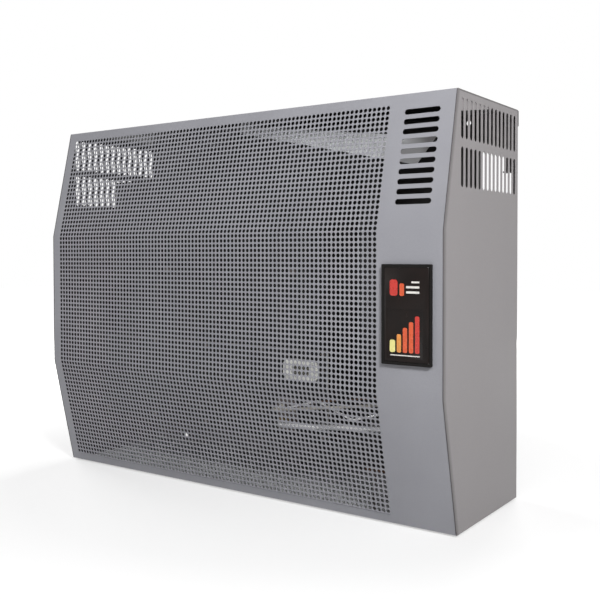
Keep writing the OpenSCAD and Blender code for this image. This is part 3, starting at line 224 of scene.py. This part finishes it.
# one for each material slot of the part
finishes = {
    "casing_paint": {
        "tones": [(152, 152, 158), (159, 159, 165)], "patch": 9, "rough": (0.4, 0.5), "specular": 0.35,
        "grain": ("noise", 1500, (1, 1, 1), 0.00005), "fleck": (128, 128, 134), "fleckAmount": 0.25,
        "waves": [(260, 0.00004)],
    },
    "side_paint": {
        "tones": [(148, 144, 145), (155, 151, 152)], "patch": 7, "rough": (0.42, 0.52), "specular": 0.35,
        "grain": ("noise", 1500, (1, 1, 1), 0.00005), "fleck": (124, 120, 122), "fleckAmount": 0.25,
        "waves": [(260, 0.00004)],
    },
    "galvanised": {
        "tones": [(236, 238, 241), (246, 247, 249)], "patch": 30, "rough": (0.3, 0.38), "metal": 0.9,
        "grain": ("cells", 140, (1, 1, 1), 0.000004), "fleck": (252, 252, 253), "fleckAmount": 0.35,
    },
    "dark_sheet": {
        "tones": [(44, 42, 42), (58, 56, 55)], "patch": 14, "rough": (0.6, 0.8), "specular": 0.25,
        "grain": ("noise", 900, (1, 1, 1), 0.00006), "fleck": (62, 59, 58), "fleckAmount": 0.35,
    },
    "enamel": {
        "tones": [(18, 18, 19), (28, 27, 28)], "patch": 11, "rough": (0.45, 0.65), "specular": 0.12,
        "grain": ("noise", 700, (1, 1, 1), 0.00008), "fleck": (56, 54, 54), "fleckAmount": 0.4,
        "waves": [(60, 0.0003)],
    },
    "zinc_screw": {
        "tones": [(222, 222, 218), (240, 239, 234)], "patch": 160, "rough": (0.26, 0.4), "metal": 0.85,
        "grain": ("noise", 2500, (1, 1, 1), 0.00002),
    },
    "burner_steel": {
        "tones": [(84, 78, 74), (118, 112, 108)], "patch": 26, "rough": (0.4, 0.6), "metal": 0.9,
        "grain": ("noise", 500, (0.1, 1, 1), 0.00003), "fleck": (72, 62, 70), "fleckAmount": 0.5,
    },
    "gasket": {
        "tones": [(196, 190, 176), (226, 222, 212)], "patch": 60, "rough": (0.85, 0.95), "sheen": 0.3,
        "grain": ("cells", 900, (1, 1, 1), 0.0003), "fleck": (168, 160, 146), "fleckAmount": 0.6,
    },
    "sight_glass": {
        "tones": [(196, 190, 168), (222, 218, 200)], "patch": 40, "rough": (0.06, 0.14), "clear": 0.9,
        "grain": ("noise", 80, (1, 1, 1), 0.00001),
    },
    "brass": {
        "tones": [(92, 80, 58), (122, 108, 80)], "patch": 90, "rough": (0.35, 0.5), "metal": 0.9,
        "grain": ("noise", 900, (1, 0.1, 1), 0.00002),
    },
    "copper": {
        "tones": [(74, 56, 48), (102, 78, 66)], "patch": 70, "rough": (0.4, 0.6), "metal": 0.9,
        "grain": ("noise", 1200, (0.2, 1, 1), 0.00002),
    },
    "ceramic": {
        "tones": [(224, 220, 210), (240, 238, 230)], "patch": 120, "rough": (0.12, 0.2), "coat": 0.5,
        "grain": ("noise", 600, (1, 1, 1), 0.00001),
    },
    "flue_metal": {
        "tones": [(134, 136, 138), (168, 168, 168)], "patch": 24, "rough": (0.35, 0.55), "metal": 0.85,
        "grain": ("noise", 700, (1, 0.1, 1), 0.00003),
    },
    "bezel_black": {
        "tones": [(13, 12, 11), (21, 19, 18)], "patch": 40, "rough": (0.42, 0.52), "specular": 0.12,
        "grain": ("cells", 1800, (1, 1, 1), 0.00003), "fleck": (32, 30, 29), "fleckAmount": 0.4,
    },
    "door_gloss": {
        "tones": [(18, 12, 10), (27, 18, 15)], "patch": 30, "rough": (0.2, 0.28), "specular": 0.16,
        "grain": ("noise", 500, (1, 1, 1), 0.00001),
    },
    "pin_steel": {
        "tones": [(150, 150, 152), (196, 196, 196)], "patch": 200, "rough": (0.2, 0.35), "metal": 1.0,
        "grain": ("noise", 3000, (1, 1, 0.1), 0.00001),
    },
    "valve_cast": {
        "tones": [(146, 148, 150), (182, 184, 184)], "patch": 34, "rough": (0.42, 0.6), "metal": 0.8,
        "grain": ("noise", 1400, (1, 1, 1), 0.0001), "fleck": (112, 114, 116), "fleckAmount": 0.4,
    },
    "valve_cover": {
        "tones": [(206, 205, 198), (222, 221, 214)], "patch": 30, "rough": (0.42, 0.55),
        "grain": ("cells", 1600, (1, 1, 1), 0.00003),
    },
    "knob_white": {
        "tones": [(218, 217, 211), (230, 229, 224)], "patch": 40, "rough": (0.32, 0.45),
        "grain": ("noise", 1100, (1, 1, 1), 0.00002),
    },
    "button_red": {
        "tones": [(168, 28, 20), (196, 38, 28)], "patch": 60, "rough": (0.18, 0.28), "coat": 0.3,
        "grain": ("noise", 900, (1, 1, 1), 0.00001),
    },
    "pipe_aluminium": {
        "tones": [(240, 241, 242), (248, 248, 249)], "patch": 40, "rough": (0.18, 0.28), "metal": 0.85,
        "grain": ("noise", 900, (0.15, 1, 1), 0.00002),
    },
    "pipe_steel": {
        "tones": [(92, 94, 94), (124, 124, 121)], "patch": 50, "rough": (0.3, 0.48), "metal": 0.95,
        "grain": ("noise", 900, (1, 1, 0.15), 0.00002),
    },
    "lead_silicone": {
        "tones": [(196, 191, 182), (214, 209, 200)], "patch": 60, "rough": (0.5, 0.65),
        "grain": ("noise", 1500, (1, 1, 1), 0.00002),
    },
}
materials = {slot: finish(slot, look) for slot, look in finishes.items()}
print("finishes made:", len(materials))


def variantOf(slot, ending):
    material = materials[slot].copy()
    material.name = slot + "_" + ending
    return material


def coatPart(part, material):
    part.data.materials.clear()
    part.data.materials.append(material)


for entry in frame["record"]["subparts"]:
    coatPart(nodes[entry["node"]], materials[entry["material_slot"]])
for name in ("pilot_plate", "cover_screws", "baffle_bolts", "phial_clips"):    # dulled by the heat
    coatPart(nodes[name], materials["burner_steel"])


# shade along the side panels' edges, in metres
sideShade = {
    "tone": (94, 90, 91),
    "frontFull": 0.001,      # the front bend's shade is full up to here
    "frontBand": 0.009,      # and ends here
    "frontAmount": 0.75,
    "topFull": 0.00168,
    "topBand": 0.0028,
    "topAmount": 0.85,
    "rearEdge": -0.003,
    "rearBand": 0.002,
    "kinks": (-0.305, -0.114, 0.1125, 0.305),   # the front profile's heights
    "noseOut": 0.269,                           # how far the middle facet stands out from the wall
    "lean": 0.043,                              # how far the outer facets' ends lie further back
}


def shadeEdges(material, s):
    tree = material.node_tree
    axes = objectAxes(tree)
    y, z = axes["Y"], axes["Z"]
    bottom, lower, upper, top = s["kinks"]
    lean = computed(tree, "ADD", ranged(tree, z, 0, s["lean"], upper, top),
                    ranged(tree, z, s["lean"], 0, bottom, lower))
    fromFront = computed(tree, "SUBTRACT", computed(tree, "ADD", y, s["noseOut"]), lean)
    front = ranged(tree, fromFront, s["frontAmount"], 0, s["frontFull"], s["frontBand"])
    line = ranged(tree, z, 0, s["topAmount"], top - s["topBand"], top - s["topFull"])
    rear = ranged(tree, y, 0, s["frontAmount"], s["rearEdge"] - s["rearBand"], s["rearEdge"])
    amount = computed(tree, "MAXIMUM", computed(tree, "MAXIMUM", front, line), rear)
    layOver(tree, amount, paintTone(*s["tone"]))


# Painted light and shade inside the casing, laid over the paint, which the outside keeps. Each painted coat
# of the inside: the axis that it is measured along, the distance from the middle up to which it reaches, in
# metres, its tones and the scale of its clouds
paintedInsideLightShade = {
    # painted shade: the top's underside dark
    "top": [("Z", 0.3045, [(26, 25, 25), (38, 36, 35)], 16)],
    # painted light: the floor near white; painted shade: the upright folds dark
    "bottom": [("Z", 0.3045, [(240, 242, 244), (250, 251, 252)], 22),
               ("Z", 0.303, [(46, 43, 42), (60, 56, 54)], 16)],
    # painted shade: the side panels' inner faces dark
    "sides": [("X", 0.3922, [(34, 32, 32), (46, 44, 43)], 12)],
    "rearFace": -0.0035,     # the folds that lie on the wall keep their paint
    "fade": 0.0002,
}


def paintInsideLightShade(material, s, coats):
    tree = material.node_tree
    axes = objectAxes(tree)
    forward = ranged(tree, axes["Y"], 1, 0, s["rearFace"] - s["fade"], s["rearFace"])
    # lays each painted tone of light or shade over the inside
    for axis, limit, tones, patch in s[coats]:
        distance = computed(tree, "ABSOLUTE", axes[axis], 0)
        within = computed(tree, "MULTIPLY", ranged(tree, distance, 1, 0, limit - s["fade"], limit), forward)
        dark, light = (paintTone(*tone) for tone in tones)
        coat = mixed(tree, ranged(tree, pattern(tree, "noise", patch), 0, 1), dark, light)
        layOver(tree, within, coat)


# inner faces of the top and bottom panels: painted shade and painted light
for end in ("top", "bottom"):
    shadedEndPaint = variantOf("side_paint", end)
    paintInsideLightShade(shadedEndPaint, paintedInsideLightShade, end)
    coatPart(nodes[end + "_panel"], shadedEndPaint)

# side panels: painted shade along the edges and on the inner faces
sidePaint = variantOf("side_paint", "edges")
shadeEdges(sidePaint, sideShade)
paintInsideLightShade(sidePaint, paintedInsideLightShade, "sides")
for name in ("side_panel_right", "side_panel_left"):
    coatPart(nodes[name], sidePaint)


# the deflector's right end, seen behind the louvres, falls off to the right and downwards
wingShade = {
    "tone": (140, 138, 139),
    "behind": (0.216, 0.232),    # X at which the shade begins
    "across": (0.240, 0.300),    # X
    "down": (0.247, 0.256),      # Z
    "downAmount": 0.75,
}


def shadeWing(material, s):
    tree = material.node_tree
    axes = objectAxes(tree)
    across = ranged(tree, axes["X"], 0, 1, *s["across"])
    down = ranged(tree, axes["Z"], s["downAmount"], 0, *s["down"])
    behind = ranged(tree, axes["X"], 0, 1, *s["behind"])
    amount = computed(tree, "MULTIPLY", computed(tree, "MAXIMUM", across, down), behind)
    layOver(tree, amount, paintTone(*s["tone"]))


wingZinc = variantOf("galvanised", "wing")
shadeWing(wingZinc, wingShade)
coatPart(nodes["air_deflector"], wingZinc)


# width of the rounding of the solid parts' edges, in mm; the sheet parts keep their cut edges
roundedEdges = {
    "control_bezel": 0.5, "control_door": 0.4, "control_knob": 0.6, "valve_cover": 0.8, "valve_body": 0.8,
    "igniter_body": 0.4, "igniter_button": 0.5, "push_collar": 0.4, "sight_frame": 0.4, "inlet_union": 0.5,
    "injector": 0.4, "baffle_bolts": 0.3, "cover_screws": 0.4, "sight_screws": 0.3, "casing_screws": 0.4,
    "valve_screws": 0.4, "phial_clips": 0.2, "valve_spindle": 0.3, "air_collar": 0.3, "flue_spigot": 0.3,
}
softTurns = ["main_pipe", "pilot_pipe", "ignition_lead", "thermocouple", "thermostat_phial"]
smoothing = {
    "weld": 0.00002,     # metres
    "flatAngle": 1.5,    # degrees: faces that turn less are joined
    "sharpAngle": 35,    # degrees: what turns more is an edge, what turns less is a curve
    "steps": 2,          # faces across a rounding
    "softLevels": 1,     # subdivisions of the pipes' turns
}


def smoothPart(part, s, width, soft):
    part.modifiers.new("weld", "WELD").merge_threshold = s["weld"]
    if width:
        flat = part.modifiers.new("flat", "DECIMATE")
        flat.decimate_type = "DISSOLVE"
        flat.angle_limit = math.radians(s["flatAngle"])
        bevel = part.modifiers.new("bevel", "BEVEL")
        bevel.width = width * mm
        bevel.segments = s["steps"]
        bevel.limit_method = "ANGLE"
        bevel.angle_limit = math.radians(s["sharpAngle"])
    if soft:
        rounder = part.modifiers.new("rounder", "SUBSURF")
        rounder.levels = s["softLevels"]
        rounder.render_levels = s["softLevels"]
    split = part.modifiers.new("split", "EDGE_SPLIT")
    split.split_angle = math.radians(s["sharpAngle"])
    for face in part.data.polygons:
        face.use_smooth = True


for name, part in nodes.items():
    if not name.startswith("front_mesh"):
        smoothPart(part, smoothing, roundedEdges.get(name, 0.0), name in softTurns)
print("solid parts finished")


# perforated front, in mm
perforation = {
    "holeAcross": 6.0,
    "sides": 12,
    "columnPitch": 7.5,
    "columns": 89,
    "lastColumn": 288.0,                      # middle of the rightmost column
    "sheet": 0.8,
    "field": (-376.0, 292.0, -291.0, 291.0),  # left, right, bottom, top
    "join": 0.01,                             # points nearer than this are one
    "leastStrip": 0.02,                       # a narrower border only moves the sheet's rim
    # name, lower edge and upper edge of the facet as y and z, rows, first row, pitch along the slope
    "facets": [
        ("lower", (-226, -305), (-269, -114), 24, 17.2, 7.6),
        ("middle", (-269, -114), (-269, 112.5), 30, 3.775, 7.55),
        ("upper", (-269, 112.5), (-226, 305), 24, 3.8, 7.62),
    ],
}


# all holes of a facet with the sheet between them, lying flat
def holeField(s, rows, firstRow, rowPitch):
    bm = bmesh.new()
    bmesh.ops.create_circle(bm, segments=s["sides"], radius=s["holeAcross"] / 2)
    edge = bmesh.ops.create_circle(bm, segments=4, radius=math.sqrt(0.5))["verts"]
    bmesh.ops.rotate(bm, verts=edge, cent=(0, 0, 0), matrix=turned("Z", 45).to_3x3())
    bmesh.ops.scale(bm, verts=edge, vec=(s["columnPitch"], rowPitch, 1))
    bmesh.ops.triangle_fill(bm, use_beauty=True, use_dissolve=False, edges=bm.edges[:])
    firstColumn = s["lastColumn"] - (s["columns"] - 1) * s["columnPitch"]
    bmesh.ops.translate(bm, verts=bm.verts[:], vec=(firstColumn, firstRow, 0))
    # one hole becomes a row, and the row becomes the field
    for count, step in ((s["columns"], (s["columnPitch"], 0, 0)), (rows, (0, rowPitch, 0))):
        cell = bm.verts[:] + bm.edges[:] + bm.faces[:]
        for i in range(1, count):
            copied = bmesh.ops.duplicate(bm, geom=cell)["geom"]
            bmesh.ops.translate(bm, verts=vertsOf(copied), vec=Vector(step) * i)
        bmesh.ops.remove_doubles(bm, verts=bm.verts[:], dist=s["join"])
    return bm


# a plain strip from the field's rim to a border across the axis
def plainStrip(bm, s, axis, border, towards):
    limit = towards(v.co[axis] for v in bm.verts)
    rim = [e for e in bm.edges if e.is_boundary and all(abs(v.co[axis] - limit) < s["join"] for v in e.verts)]
    if abs(limit - border) > s["leastStrip"]:
        moved = vertsOf(bmesh.ops.extrude_edge_only(bm, edges=rim)["geom"])
    else:
        moved = {v for e in rim for v in e.verts}
    for v in moved:
        v.co[axis] = border


def perforatedSheet(s, facet):
    name, low, high, rows, firstRow, rowPitch = facet
    left, right, bottom, top = s["field"]
    rise = Vector((0, high[0] - low[0], high[1] - low[1]))
    slope = rise.length
    rise.normalize()
    bm = holeField(s, rows, firstRow, rowPitch)
    plainStrip(bm, s, 0, left, min)
    plainStrip(bm, s, 0, right, max)
    plainStrip(bm, s, 1, max(0.0, (bottom - low[1]) / rise.z), min)
    plainStrip(bm, s, 1, min(slope, (top - low[1]) / rise.z), max)
    bmesh.ops.recalc_face_normals(bm, faces=bm.faces[:])
    if bm.faces[:][0].normal.z < 0:
        bmesh.ops.reverse_faces(bm, faces=bm.faces[:])
    # stands the flat field up on the facet
    across = Vector((1, 0, 0))
    stand = Matrix((across, rise, across.cross(rise))).transposed().to_4x4()
    stand.translation = Vector((0, low[0], low[1]))
    bmesh.ops.transform(bm, matrix=Matrix.Scale(mm, 4) @ stand, verts=bm.verts[:])
    sheet = newPiece("perforated_" + name, bm)
    thick = sheet.modifiers.new("thick", "SOLIDIFY")
    thick.thickness = s["sheet"] * mm
    thick.offset = -1
    coatPart(sheet, materials["casing_paint"])
    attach(sheet, "casing")
    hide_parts("front_mesh_" + name)
    print("perforated", name, len(sheet.data.polygons), "faces")


for facet in perforation["facets"]:
    perforatedSheet(perforation, facet)


# plate that closes the tops of the right side's front slots, against the inner face of the side panel;
# in mm, its outline as y and z
slotCover = {
    "outline": [(-222, 274.6), (-95, 294.3), (-95, 299), (-222, 299)],
    "inside": 391.1,
    "outside": 391.95,
    "cornerRound": 0.8,
    "cornerSteps": 3,
}


def coverSlots(s):
    bm = bmesh.new()
    face = bm.faces.new([bm.verts.new((s["outside"], y, z)) for y, z in s["outline"]])
    grown = bmesh.ops.extrude_face_region(bm, geom=[face])["geom"]
    thick = s["outside"] - s["inside"]
    bmesh.ops.translate(bm, verts=vertsOf(grown), vec=(-thick, 0, 0))
    corners = [e for e in bm.edges if lengthAlong(e, 0) > thick / 2]
    bmesh.ops.bevel(bm, geom=corners, offset=s["cornerRound"], offset_type="OFFSET",
                    segments=s["cornerSteps"], profile=0.5, affect="EDGES", material=-1)
    bmesh.ops.recalc_face_normals(bm, faces=bm.faces[:])
    bmesh.ops.scale(bm, verts=bm.verts[:], vec=(mm, mm, mm))
    piece = newPiece("slot_cover", bm)
    coatPart(piece, materials["side_paint"])
    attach(piece, "casing")


coverSlots(slotCover)
print("slots covered")


# inks of the door, the knob and the cover round it
inkTones = {
    "ink_red": (206, 44, 30), "ink_orange": (226, 88, 38), "ink_amber": (236, 150, 62),
    "ink_pale": (246, 238, 150), "ink_white": (238, 234, 228), "ink_grey": (62, 60, 59),
}
inkShape = {
    "darkest": 0.94,         # share of the tone in its darkest clouds
    "thick": 0.14,           # mm
    "sunk": 0.01,            # how deep a mark reaches into the surface below
    "cornerShare": 0.32,     # of the mark's smaller side
    "cornerSteps": 4,
}

# in mm
doorPrint = {
    "face": -274.2,          # y of the door's front
    "inset": -273.7,         # y of the floor of its shallow panel
    # ink, middle x, bottom z, width, height, in the shallow panel
    "bars": [
        ("ink_pale", 319.0, -53, 8.4, 17), ("ink_amber", 329.0, -53, 6.6, 25),
        ("ink_orange", 338.2, -53, 6.6, 34), ("ink_orange", 347.4, -53, 6.6, 42),
        ("ink_red", 356.6, -53, 6.6, 50),
    ],
    "line": ("ink_white", 338.0, -57.5, 45, 1.4),
    # the same, above the panel
    "stripes": [
        ("ink_red", 321.0, 24, 12, 22), ("ink_orange", 333.5, 24, 7, 17),
        ("ink_white", 350, 34.5, 20, 3.0), ("ink_white", 354, 41.5, 12, 2.4),
        ("ink_white", 350, 27.5, 20, 3.0),
    ],
}
dialPrint = {
    "middle": (336, 12),     # x and z of the knob's axis
    "groove": -265.7,        # y of the floor of the groove in its face
    "pointer": ("ink_grey", 336, 20.4, 1.3, 6.2),
    "cover": -250.0,         # y of the valve cover's front
    "radius": 25.5,
    "turns": (30, 210, 7),   # first and last angle from the top, number of dots
    "dots": (1.4, 3.4),      # smallest and largest
}


def inkFinish(name, tone, s):
    dark = tuple(int(c * s["darkest"]) for c in tone)
    return finish(name, {"tones": [dark, tone], "patch": 120, "rough": (0.22, 0.32), "coat": 0.3,
                         "grain": ("noise", 2000, (1, 1, 1), 0.00001)})


inks = {name: inkFinish(name, tone, inkShape) for name, tone in inkTones.items()}


# marks: ink, middle x, bottom z, width, height and the y of the surface below
def printMarks(name, s, marks, body):
    used = {mark[0] for mark in marks}
    order = [ink for ink in inks if ink in used]
    bm = bmesh.new()
    for ink, x, z, width, height, y in marks:
        cube = bmesh.ops.create_cube(bm, size=1)["verts"]
        bmesh.ops.scale(bm, verts=cube, vec=(width, s["thick"], height))
        bmesh.ops.translate(bm, verts=cube, vec=(x, y - s["thick"] / 2 + s["sunk"], z + height / 2))
        for face in {f for v in cube for f in v.link_faces}:
            face.material_index = order.index(ink)
        corners = [e for e in {e for v in cube for e in v.link_edges} if lengthAlong(e, 1) > s["thick"] / 2]
        bmesh.ops.bevel(bm, geom=corners, offset=min(width, height) * s["cornerShare"], offset_type="OFFSET",
                        segments=s["cornerSteps"], profile=0.5, affect="EDGES", material=-1)
    bmesh.ops.scale(bm, verts=bm.verts[:], vec=(mm, mm, mm))
    piece = newPiece(name, bm)
    for ink in order:
        piece.data.materials.append(inks[ink])
    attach(piece, body)


# each mark with the y of the surface that it lies on
def onSurface(marks, y):
    return [(*mark, y) for mark in marks]


def dialDots(s):
    first, last, count = s["turns"]
    smallest, largest = s["dots"]
    dots = []
    for i in range(count):
        share = i / (count - 1)
        angle = math.radians(first + (last - first) * share)
        size = smallest + (largest - smallest) * share
        x = s["middle"][0] - s["radius"] * math.sin(angle)
        z = s["middle"][1] + s["radius"] * math.cos(angle)
        dots.append(("ink_grey", x, z - size / 2, size, size))
    return dots


doorMarks = (onSurface(doorPrint["bars"] + [doorPrint["line"]], doorPrint["inset"])
             + onSurface(doorPrint["stripes"], doorPrint["face"]))
knobMarks = onSurface([dialPrint["pointer"]], dialPrint["groove"])
coverMarks = onSurface(dialDots(dialPrint), dialPrint["cover"])
printMarks("door_print", inkShape, doorMarks, "door")
printMarks("knob_pointer", inkShape, knobMarks, "knob")
printMarks("dial_dots", inkShape, coverMarks, "casing")
print("door printed")


# floor, backdrop and light, in metres and watts
studio = {
    "floorSize": 14.0,
    "floorGap": 0.0004,
    "floorTone": (0.5, 0.5, 0.5, 1),
    "nearGlow": 0.5,          # what the camera sees of the floor on top of its own shading, beside the heater
    "farGlow": 1.0,           # and far away from it
    "glowReach": (0.6, 1.5),
    "skyTone": (1, 1, 1, 1),
    "skyGlow": 1.0,           # what the camera sees beyond the floor
    "ambient": 0.09,
    # name, place, what it faces, size, watts
    "lamps": [
        ("key", (1.65, -1.4, 1.2), (0.1, -0.2, 0.05), 0.4, 42.0),
        ("front", (0.9, -2.4, 1.9), (0.0, -0.2, 0.0), 1.0, 15.0),
        ("low", (0.9, -2.2, -0.1), (0.0, -0.2, 0.1), 0.5, 1.5),
        ("left", (-1.9, -2.5, 0.25), (0.1, -0.25, 0.0), 0.9, 4.0),
        ("top", (0.0, -0.6, 2.2), (0.0, -0.2, 0.0), 1.4, 4.0),
        ("rear", (-0.35, 2.4, 0.5), (0.0, 0.0, 0.0), 0.9, 55.0),
        ("rearLeft", (-2.3, 0.5, 0.4), (-0.3, 0.0, 0.0), 1.0, 40.0),
    ],
}


# 1 for rays that the camera sees straight, mirrored or through glass, and 0 for those that light the heater
def seenRays(tree):
    path = tree.nodes.new("ShaderNodeLightPath").outputs
    mirrored = computed(tree, "MAXIMUM", path["Is Camera Ray"], path["Is Glossy Ray"])
    return computed(tree, "MAXIMUM", mirrored, path["Is Transmission Ray"])


def lightWorld(s):
    world = bpy.data.worlds.new("studio")
    scene.world = world
    world.use_nodes = True
    tree = world.node_tree
    seen = tree.nodes["Background"]
    soft = tree.nodes.new("ShaderNodeBackground")
    for backdrop, strength in ((seen, s["skyGlow"]), (soft, s["ambient"])):
        backdrop.inputs["Color"].default_value = s["skyTone"]
        backdrop.inputs["Strength"].default_value = strength
    mix = tree.nodes.new("ShaderNodeMixShader")
    tree.links.new(seenRays(tree), mix.inputs[0])
    tree.links.new(soft.outputs[0], mix.inputs[1])
    tree.links.new(seen.outputs[0], mix.inputs[2])
    tree.links.new(mix.outputs[0], tree.nodes["World Output"].inputs["Surface"])


def layFloor(s):
    bm = bmesh.new()
    bmesh.ops.create_grid(bm, x_segments=1, y_segments=1, size=s["floorSize"] / 2)
    bmesh.ops.translate(bm, verts=bm.verts[:], vec=(0, 0, cadBox[0].z - s["floorGap"]))
    floor = newPiece("floor", bm)
    material = bpy.data.materials.new("floor")
    material.use_nodes = True
    tree = material.node_tree
    matt = tree.nodes.new("ShaderNodeBsdfDiffuse")
    matt.inputs["Color"].default_value = s["floorTone"]
    coords = tree.nodes.new("ShaderNodeTexCoord")
    away = tree.nodes.new("ShaderNodeVectorMath")
    away.operation = "LENGTH"
    tree.links.new(coords.outputs["Object"], away.inputs[0])
    glowing = ranged(tree, away.outputs["Value"], s["nearGlow"], s["farGlow"], *s["glowReach"])
    glow = tree.nodes.new("ShaderNodeEmission")
    tree.links.new(computed(tree, "MULTIPLY", seenRays(tree), glowing), glow.inputs["Strength"])
    add = tree.nodes.new("ShaderNodeAddShader")
    tree.links.new(matt.outputs[0], add.inputs[0])
    tree.links.new(glow.outputs[0], add.inputs[1])
    tree.links.new(add.outputs[0], tree.nodes["Material Output"].inputs["Surface"])
    coatPart(floor, material)


def hangLamps(s):
    for name, spot, target, size, watts in s["lamps"]:
        data = bpy.data.lights.new(name, "AREA")
        data.size = size
        data.energy = watts
        lamp = bpy.data.objects.new(name, data)
        lamp.location = spot
        lamp.rotation_euler = (Vector(target) - Vector(spot)).to_track_quat("-Z", "Y").to_euler()
        scene.collection.objects.link(lamp)


lightWorld(studio)
layFloor(studio)
hangLamps(studio)
scene.view_settings.view_transform = "Standard"
print("studio lit")
